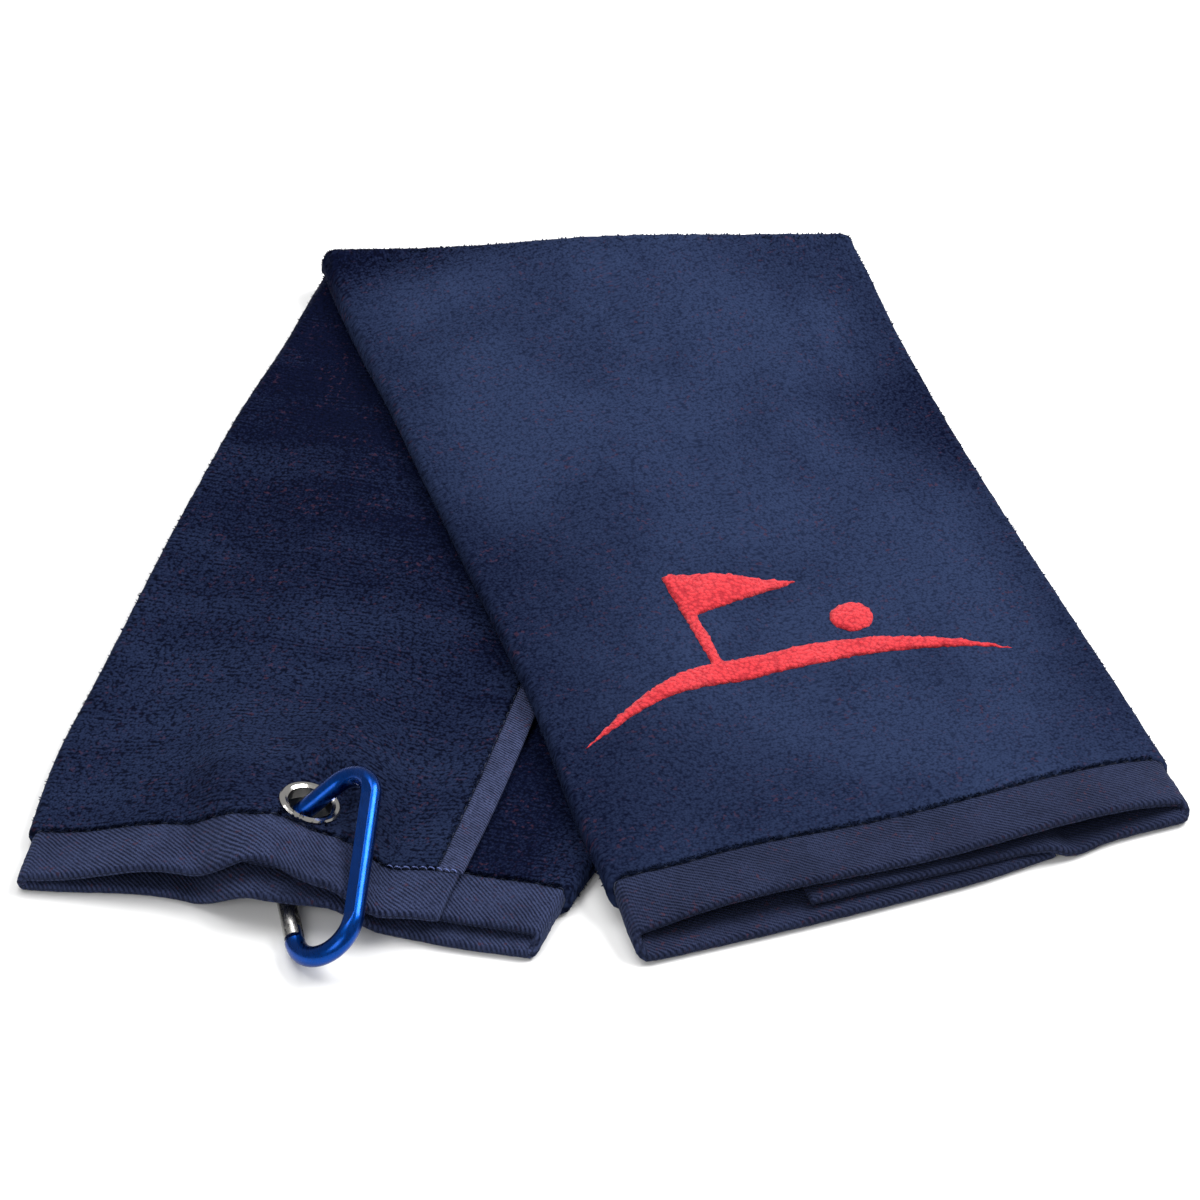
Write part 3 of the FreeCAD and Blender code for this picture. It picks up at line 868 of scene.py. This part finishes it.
def seam_tufts():
    """Tufts that overhang the end hems' and the side hems' seams."""
    chance = random.Random(SEAM_SEED)
    spots = []
    for _ in range(SEAM_TUFTS):
        face = chance.choice((-1, 1))
        a = chance.uniform(SIDE_HEM, TOWEL_WIDTH - SIDE_HEM)
        if min(abs(a - OUTER_FLAP), abs(a - INNER_CREASE)) < NO_TUFTS_BY_CREASE:
            continue
        depth = chance.uniform(*SEAM_TUFT_DEPTHS)
        end = chance.choice((-1, 1))
        b = END_HEM + depth if end < 0 else TOWEL_LENGTH - END_HEM - depth
        spots.append((a, b, face, 0, end))
    for _ in range(SIDE_TUFTS):
        face = chance.choice((-1, 1))
        b = chance.uniform(END_HEM, TOWEL_LENGTH - END_HEM)
        depth = chance.uniform(*SIDE_TUFT_DEPTHS)
        side = chance.choice((-1, 1))
        a = SIDE_HEM + depth if side < 0 else TOWEL_WIDTH - SIDE_HEM - depth
        spots.append((a, b, face, side, 0))
    return spots


def edge_tufts():
    """Tufts on the folded edges, where the pile stands open."""
    chance = random.Random(EDGE_SEED)
    spots = []
    for crease in (OUTER_FLAP, INNER_CREASE):
        for _ in range(CREASE_TUFTS):
            b = chance.uniform(END_HEM + 1, TOWEL_LENGTH - END_HEM - 1)
            spots.append((crease + chance.uniform(-CREASE_REACH, CREASE_REACH), b, -1, 0, 0))
    for _ in range(FOLD_TUFTS):
        a = chance.uniform(OUTER_FLAP, INNER_CREASE)
        p = a - MIDDLE_LINE
        spots.append((a, FOLD_AT + p * TA + chance.uniform(-FOLD_REACH, FOLD_REACH), -1, 0, 0))
    return spots


def make_tufts(look):
    pieces = []
    for name, spots, length, lean in (
        ("seam_pile", seam_tufts(), 2.3, 1.4),
        ("edge_pile", edge_tufts(), 1.0, 0.5),
    ):
        piece, weights = tuft_mesh(name, spots, look, length, lean)
        bend_over_fold(piece)
        pieces.append(piece)
    return pieces


# ---- materials

class Look:
    """A material and short ways to add its nodes."""

    def __init__(self, name):
        self.material = bpy.data.materials.new(name)
        self.material.use_nodes = True
        self.tree = self.material.node_tree
        self.shader = self.tree.nodes["Principled BSDF"]

    def node(self, kind, **inputs):
        made = self.tree.nodes.new(kind)
        for name, value in inputs.items():
            self.feed(made.inputs[name.replace("_", " ")], value)
        return made

    def feed(self, socket, value):
        if isinstance(value, bpy.types.NodeSocket):
            self.tree.links.new(value, socket)
        else:
            socket.default_value = value

    def math(self, operation, first, second=0.0):
        made = self.tree.nodes.new("ShaderNodeMath")
        made.operation = operation
        self.feed(made.inputs[0], first)
        self.feed(made.inputs[1], second)
        return made.outputs[0]

    def times(self, first, second):
        return self.math("MULTIPLY", first, second)

    def plus(self, first, second):
        return self.math("ADD", first, second)

    def minus(self, first, second):
        return self.math("SUBTRACT", first, second)

    def noise(self, vector, scale, detail=2.0, roughness=0.5):
        values = {"Scale": scale, "Detail": detail, "Roughness": roughness, "Vector": vector}
        return self.node("ShaderNodeTexNoise", **values).outputs["Fac"]

    def span(self, value, low, high, new_low=0.0, new_high=1.0):
        made = self.node("ShaderNodeMapRange")
        made.interpolation_type = "SMOOTHSTEP"
        for socket, number in zip(made.inputs, (value, low, high, new_low, new_high)):
            self.feed(socket, number)
        return made.outputs[0]

    def mix(self, share, first, second):
        made = self.tree.nodes.new("ShaderNodeMix")
        made.data_type = "RGBA"
        colours = [s for s in made.inputs if s.type == "RGBA"]
        self.feed(made.inputs[0], share)
        self.feed(colours[0], first)
        self.feed(colours[1], second)
        return [s for s in made.outputs if s.type == "RGBA"][0]

    def scaled(self, vector, factors):
        made = self.tree.nodes.new("ShaderNodeMapping")
        self.feed(made.inputs["Vector"], vector)
        made.inputs["Scale"].default_value = factors
        return made.outputs[0]

    def flat_cloth(self):
        made = self.tree.nodes.new("ShaderNodeUVMap")
        made.uv_map = "cloth"
        return made.outputs[0]

    def bump(self, height, strength, distance, normal=None):
        made = self.node("ShaderNodeBump", Strength=strength, Distance=distance, Height=height)
        if normal is not None:
            self.feed(made.inputs["Normal"], normal)
        return made.outputs[0]

    def finish(self, colour, roughness, normal, **constants):
        self.feed(self.shader.inputs["Base Color"], colour)
        self.feed(self.shader.inputs["Roughness"], roughness)
        self.feed(self.shader.inputs["Normal"], normal)
        for name, value in constants.items():
            self.shader.inputs[name.replace("_", " ")].default_value = value
        return self.material


# colours are linear, and places and lengths on the flat cloth are in metres here
PILE_LIGHT = (0.0205, 0.0325, 0.0780, 1)
PILE_DARK = (0.0014, 0.0028, 0.0145, 1)
# painted shade: the near-black in the gaps between the pile's tufts
PILE_GAP_SHADE = (0.0008, 0.0012, 0.0050, 1)
HEM_NAVY = (0.038, 0.051, 0.118, 1)
SIDE_HEM_NAVY = (0.062, 0.077, 0.165, 1)
HEM_DARK = (0.006, 0.0085, 0.024, 1)
RUST = (0.048, 0.020, 0.035, 1)
RED = (0.58, 0.030, 0.040, 1)
RED_DARK = (0.36, 0.012, 0.022, 1)
RED_LIGHT = (0.74, 0.085, 0.10, 1)
THREAD_NAVY = (0.020, 0.028, 0.060, 1)
THREAD_PALE = (0.15, 0.20, 0.48, 1)
ANODISED_BLUE = (0.0012, 0.052, 0.30, 1)
NICKEL = (0.70, 0.68, 0.65, 1)
SATIN_STEEL = (0.50, 0.49, 0.47, 1)
SPRING_STEEL = (0.55, 0.55, 0.56, 1)

# the places where the pile's look changes, with painted shade: to the lower leg's, darker all over as
# painted shade of its pile's other lay, lighter towards the lower leg's end and darkest by the fold;
# darker towards the upper leg's folded edges; dark on the inner flap, a painted shadow; and the upper
# leg's hems darker
TO_LOWER_LEG = (0.325, 0.290)
UPPER_EDGE_SHADE = (0.058, 0.082, 1.0, 0.62)
LOWER_LEG_SHADE = (0.275, 0.050, 0.04, 0.36)
INNER_FLAP_SHADE = (0.289, 0.310, 1.0, 0.15)
UPPER_HEM_SHADE = (0.30, 0.31, 0.0, 0.44)
# painted shadow: the lower leg's dark band next to the upper leg's edge: its direction and its span
SHADOW_BAND_WAY = (0.823, 0.568)
SHADOW_BAND_SPAN = (-0.055, -0.005, -0.16, 0.0)
# painted shade for the upper leg's slopes and the changing lay of its pile, in dark patches: middle,
# size and how dark
SHADED_PATCHES = (
    ((0.280, 0.418), 0.045, 0.62),
    ((0.136, 0.470), 0.060, 0.45),
    ((0.140, 0.560), 0.060, 0.50),
    ((0.262, 0.330), 0.040, 0.30),
    ((0.185, 0.575), 0.030, 0.30),
)

PILE_ROW_PITCH = 0.0017
ROW_BEND = 7.0
TUFT_SHARE = 0.45
CLUMP_SHARE = 0.55
MIDDLE_GRAIN = 0.53
GRAIN_STRENGTH = 1.1
VELOUR_FLECKS = 0.5
HEM_FLECKS = 0.8
PILE_BUMP = 0.0008
WEAVE_BUMP = 0.00045
THREAD_BUMP = 0.0002
TWILL_WANDER = 2.6
CROSS_THREAD_SHARE = 0.55  # the crossing threads' pitch as a share of the ribs'


def flecks(look, cloth_uv, amount):
    """1 on the sparse reddish fibres that came off another cloth."""
    fibres = look.span(look.noise(cloth_uv, 560, 2, 0.6), 0.575, 0.665)
    clusters = look.span(look.noise(cloth_uv, 75, 3, 0.6), 0.46, 0.62)
    return look.times(look.times(fibres, clusters), amount)


def near_place(look, cloth_uv, place, far, close):
    """0 beyond far from a place on the flat cloth, rising to 1 within close."""
    gap = look.node("ShaderNodeVectorMath", Vector=cloth_uv)
    gap.operation = "DISTANCE"
    gap.inputs[1].default_value = (place[0], place[1], 0)
    return look.span(gap.outputs["Value"], far, close)


def pile_grain(look, flat, along, lower_leg):
    """The pile's fine structure: tufts, clumps of them, and wavy rows, strongest on the
    lower leg."""
    cells = look.node("ShaderNodeTexVoronoi", Scale=1250, Randomness=0.9, Vector=flat)
    tufts = look.minus(1.0, cells.outputs["Distance"])
    clumps = look.noise(look.scaled(flat, (1, 1.4, 1)), 620, 2, 0.6)
    patches = look.noise(flat, 95, 2, 0.5)
    row_bend = look.times(look.noise(flat, 130, 2), ROW_BEND)
    row_turn = look.plus(look.times(along, math.tau / PILE_ROW_PITCH), row_bend)
    rows = look.times(look.math("SINE", row_turn), 0.5)
    patchy = look.span(patches, 0.44, 0.62, 0.02, 0.15)
    row_share = look.times(patchy, look.span(lower_leg, 0, 1, 0.35, 1.0))
    grain = look.plus(look.times(tufts, TUFT_SHARE), look.times(clumps, CLUMP_SHARE))
    return look.plus(grain, look.times(rows, row_share))


def upper_leg_tone(look, flat, across):
    """How light the upper leg's pile is: brushed, with painted shade towards its folded edges and in
    dark patches.
    """
    brushed = look.noise(look.scaled(flat, (1, 0.8, 1)), 24, 3, 0.55)
    tone = look.span(brushed, 0.36, 0.56, 0.62, 0.84)
    # painted shade: darker towards the upper leg's folded edges
    from_middle = look.math("ABSOLUTE", look.minus(across, MIDDLE_LINE * MM))
    tone = look.times(tone, look.span(from_middle, *UPPER_EDGE_SHADE))
    # painted shade: dark patches on the upper leg's pile
    for place, far, amount in SHADED_PATCHES:
        patch_shade = look.times(near_place(look, flat, place, far, far / 7), amount)
        tone = look.times(tone, look.minus(1.0, patch_shade))
    return tone


def lower_leg_tone(look, flat, across, along):
    """How light the lower leg's pile is: streaked, with painted shade for its pile's other lay,
    lighter towards its end and darkest by the fold; painted shadow on the inner flap and next to the
    upper leg."""
    streaks = look.noise(look.scaled(flat, (0.35, 1, 1)), 48, 2, 0.5)
    # painted shade: the whole leg darker than the upper one, lighter towards its end and darkest by the
    # fold
    tone = look.span(along, *LOWER_LEG_SHADE)
    tone = look.plus(tone, look.span(streaks, 0.36, 0.64, -0.06, 0.13))
    # painted shadow: dark on the inner flap, partly its pile's lay
    tone = look.times(tone, look.span(across, *INNER_FLAP_SHADE))
    # painted shadow: a dark band next to the upper leg's edge
    shadow_band_offset = look.minus(look.times(across, SHADOW_BAND_WAY[0]), look.times(along, SHADOW_BAND_WAY[1]))
    return look.plus(tone, look.span(shadow_band_offset, *SHADOW_BAND_SPAN))


def velour_look():
    look = Look("velour")
    flat = look.flat_cloth()
    split = look.node("ShaderNodeSeparateXYZ", Vector=flat)
    across = split.outputs["X"]
    along = split.outputs["Y"]
    lower_leg = look.span(along, *TO_LOWER_LEG)
    grain = pile_grain(look, flat, along, lower_leg)
    upper = look.times(upper_leg_tone(look, flat, across), look.minus(1.0, lower_leg))
    tone = look.plus(upper, look.times(lower_leg_tone(look, flat, across, along), lower_leg))
    tone = look.plus(tone, look.times(look.minus(grain, MIDDLE_GRAIN), GRAIN_STRENGTH))
    colour = look.mix(tone, PILE_DARK, PILE_LIGHT)
    # painted shade: near-black in the low spots between the pile's tufts, more on the lower leg
    tuft_gap_shade = look.times(look.span(grain, 0.50, 0.34), look.span(lower_leg, 0, 1, 0.28, 0.70))
    colour = look.mix(tuft_gap_shade, colour, PILE_GAP_SHADE)
    colour = look.mix(flecks(look, flat, VELOUR_FLECKS), colour, RUST)
    height = look.times(grain, look.span(lower_leg, 0, 1, 0.55, 1.0))
    return look.finish(
        colour, look.span(grain, 0.3, 0.7, 0.95, 0.8), look.bump(height, 0.6, PILE_BUMP),
        Sheen_Weight=0.025, Sheen_Roughness=0.4, Sheen_Tint=(0.35, 0.47, 0.9, 1),
        Specular_IOR_Level=0.03,
    )


def twill_look(name, slant, pitch, light, depth):
    """A woven hem: slanting ribs, each crossed by its own fine threads."""
    look = Look(name)
    flat = look.flat_cloth()
    split = look.node("ShaderNodeSeparateXYZ", Vector=flat)
    wander = look.times(look.noise(flat, 260, 2), TWILL_WANDER)
    along = look.times(split.outputs["X"], math.tau * math.cos(slant) / pitch)
    up = look.times(split.outputs["Y"], math.tau * math.sin(slant) / pitch)
    rib = look.math("SINE", look.plus(look.plus(along, up), wander))
    rib_depth = look.span(look.noise(flat, 90, 2), 0.3, 0.7, 0.25, 0.52)
    rib = look.plus(look.times(rib, rib_depth), 0.5)
    across = look.times(split.outputs["X"], math.tau / (pitch * CROSS_THREAD_SHARE))
    thread = look.times(look.math("SINE", across), 0.5)
    fuzz = look.noise(flat, 1300, 2, 0.6)
    height = look.plus(rib, look.times(thread, 0.25))
    height = look.plus(height, look.times(fuzz, 1.3))
    colour = look.mix(look.span(height, 0.55, 1.65), HEM_DARK, light)
    mottle = look.span(look.noise(flat, 330, 2, 0.6), 0.36, 0.50, 0.30, 0.0)
    colour = look.mix(mottle, colour, HEM_DARK)
    # painted shade: the hems on the upper leg darker than those on the lower leg
    colour = look.mix(look.span(split.outputs["Y"], *UPPER_HEM_SHADE), colour, HEM_DARK)
    wear = look.span(look.noise(flat, 45, 3), 0.35, 0.7, 0.0, 0.35)
    colour = look.mix(wear, colour, HEM_DARK)
    colour = look.mix(flecks(look, flat, HEM_FLECKS), colour, RUST)
    return look.finish(
        colour, look.span(fuzz, 0.3, 0.7, 0.95, 0.82), look.bump(height, depth, WEAVE_BUMP),
        Sheen_Weight=0.05, Sheen_Roughness=0.5, Sheen_Tint=(0.5, 0.6, 0.9, 1),
        Specular_IOR_Level=0.08,
    )


def motif_look():
    look = Look("motif_pile")
    flat = look.flat_cloth()
    tufts = look.node("ShaderNodeTexVoronoi", Scale=780, Randomness=0.8, Vector=flat)
    near = tufts.outputs["Distance"]
    fuzz = look.noise(flat, 1500, 2, 0.6)
    height = look.minus(look.times(fuzz, 0.6), near)
    brushed = look.span(look.noise(flat, 60, 3), 0.35, 0.65, 0.0, 0.35)
    colour = look.mix(look.span(near, 0.35, 0.75), RED, RED_DARK)
    colour = look.mix(look.times(brushed, look.span(fuzz, 0.4, 0.6)), colour, RED_LIGHT)
    return look.finish(
        colour, look.span(fuzz, 0.3, 0.7, 0.95, 0.8), look.bump(height, 0.6, PILE_BUMP),
        Sheen_Weight=0.2, Sheen_Roughness=0.5, Sheen_Tint=(1.0, 0.6, 0.6, 1),
        Specular_IOR_Level=0.15,
    )


def thread_look(name, colour):
    look = Look(name)
    place = look.node("ShaderNodeTexCoord").outputs["Object"]
    twist = look.noise(place, 2500, 2)
    dark = tuple(c * 0.45 for c in colour[:3]) + (1,)
    shade = look.mix(look.span(twist, 0.35, 0.65), dark, colour)
    return look.finish(
        shade, look.span(twist, 0.3, 0.7, 0.75, 0.6), look.bump(twist, 0.5, THREAD_BUMP),
        Sheen_Weight=0.1, Specular_IOR_Level=0.12,
    )


def metal_look(name, colour, rough, grain_scale, coat=0.0, grain=(1, 1, 1)):
    """Metal with fine polishing marks, small dents and a little dust-like wear."""
    look = Look(name)
    place = look.node("ShaderNodeTexCoord").outputs["Object"]
    marks = look.noise(look.scaled(place, grain), grain_scale, 4, 0.6)
    waves = look.noise(place, 140, 2)
    smudge = look.noise(place, 60, 3)
    darker = tuple(c * 0.72 for c in colour[:3]) + (1,)
    shade = look.mix(look.span(smudge, 0.3, 0.7, 0.0, 0.5), colour, darker)
    normal = look.bump(marks, 0.05, 0.0002)
    normal = look.bump(waves, 0.06, 0.0008, normal)
    return look.finish(
        shade, look.span(marks, 0.3, 0.7, rough * 0.8, rough * 1.3), normal,
        Metallic=1.0, Coat_Weight=coat, Coat_Roughness=0.06,
    )


def make_looks():
    return {
        "velour": velour_look(),
        "end_hem": twill_look("end_hem_twill", math.radians(-52), 0.00105, HEM_NAVY, 0.8),
        "side_hem": twill_look("side_hem_weave", math.radians(-62), 0.0008, SIDE_HEM_NAVY, 0.6),
        "motif": motif_look(),
        "thread": thread_look("navy_thread", THREAD_NAVY),
        "pale_thread": thread_look("pale_thread", THREAD_PALE),
        "blue": metal_look("blue_anodising", ANODISED_BLUE, 0.28, 900, 0.15, (1, 0.15, 1)),
        "nickel": metal_look("nickel_plate", NICKEL, 0.13, 700, 0.0, (1, 1, 4)),
        "gate": metal_look("satin_gate", SATIN_STEEL, 0.26, 1200, 0.0, (4, 0.4, 4)),
        "steel": metal_look("spring_wire", SPRING_STEEL, 0.3, 1500),
    }


def finish_metal_parts(looks):
    chosen = {
        "carabiner_body": "blue",
        "grommet_eyelet": "nickel",
        "grommet_washer": "nickel",
        "gate_tube": "gate",
        "gate_rivet": "gate",
        "gate_plunger": "steel",
        "gate_spring": "steel",
    }
    for name, look in chosen.items():
        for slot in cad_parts[name].material_slots:
            slot.material = looks[look]


# ---- floor, light and camera

FLOOR_SIZE = 12
FLOOR_Z = -0.0004
FLOOR_GREY = (0.86, 0.86, 0.86, 1)
FLOOR_LIGHT = (0.90, 0.90, 0.90, 1)
WHITE = (1, 1, 1, 1)
WORLD_STRENGTH = 0.36
LIGHT_TARGET = (0, -0.13, 0)
# each light's name, place, size and power
SOFTBOXES = (
    ("key_softbox", (0.95, 0.30, 1.05), (0.8, 0.8), 26),
    ("top_softbox", (-0.35, 0.35, 1.5), (1.4, 1.0), 18),
    ("front_softbox", (-0.6, -1.4, 1.1), (1.0, 0.8), 8),
)
LENS = 135
SENSOR_WIDTH = 36
CAMERA_PLACE = (-0.0227, -1.1561, 0.8945)
CAMERA_TARGET = (0.0020, -0.1453, 0)


def aim(obj, place, target):
    """Puts a light or camera at a place, looking at its target."""
    obj.location = place
    obj.rotation_euler = (Vector(target) - obj.location).to_track_quat("-Z", "Y").to_euler()
    bpy.context.scene.collection.objects.link(obj)


def make_stage():
    bpy.ops.mesh.primitive_grid_add(
        x_subdivisions=2, y_subdivisions=2, size=FLOOR_SIZE, location=(0, 0, FLOOR_Z),
    )
    floor = bpy.context.object
    floor.name = "floor"
    look = Look("pale_floor")
    place = look.node("ShaderNodeTexCoord").outputs["Object"]
    speck = look.noise(place, 40, 3)
    colour = look.mix(speck, FLOOR_GREY, FLOOR_LIGHT)
    look.finish(colour, 0.9, look.bump(speck, 0.02, 0.0005), Specular_IOR_Level=0.1)
    floor.data.materials.append(look.material)


def make_lights():
    for name, place, size, power in SOFTBOXES:
        data = bpy.data.lights.new(name, "AREA")
        data.shape = "RECTANGLE"
        data.size, data.size_y = size
        data.energy = power
        aim(bpy.data.objects.new(name, data), place, LIGHT_TARGET)
    world = bpy.data.worlds.new("studio")
    world.use_nodes = True
    background = world.node_tree.nodes["Background"]
    background.inputs["Color"].default_value = WHITE
    background.inputs["Strength"].default_value = WORLD_STRENGTH
    bpy.context.scene.world = world
    bpy.context.scene.view_settings.view_transform = "Standard"


def make_camera():
    data = bpy.data.cameras.new("camera")
    data.lens = LENS
    data.sensor_width = SENSOR_WIDTH
    camera = bpy.data.objects.new("camera", data)
    aim(camera, CAMERA_PLACE, CAMERA_TARGET)
    bpy.context.scene.camera = camera


# ---- the scene

LEG_PARTS = (
    "middle_panel", "inner_flap", "outer_flap",
    "middle_end_hem", "inner_end_hem", "outer_end_hem", "side_hem",
)
CLOTH_NODES = [f"{leg}_{part}" for leg in ("lower", "upper") for part in LEG_PARTS]
CLOTH_NODES += ["fold_middle_panel", "fold_inner_flap", "fold_outer_flap"]

make_stage()
make_lights()
make_camera()
looks = make_looks()
finish_metal_parts(looks)
towel, hems = towel_pieces(looks)
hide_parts(*CLOTH_NODES)
make_motif(looks["motif"])
stitching = make_stitching(looks)
pile = make_tufts(looks["velour"])
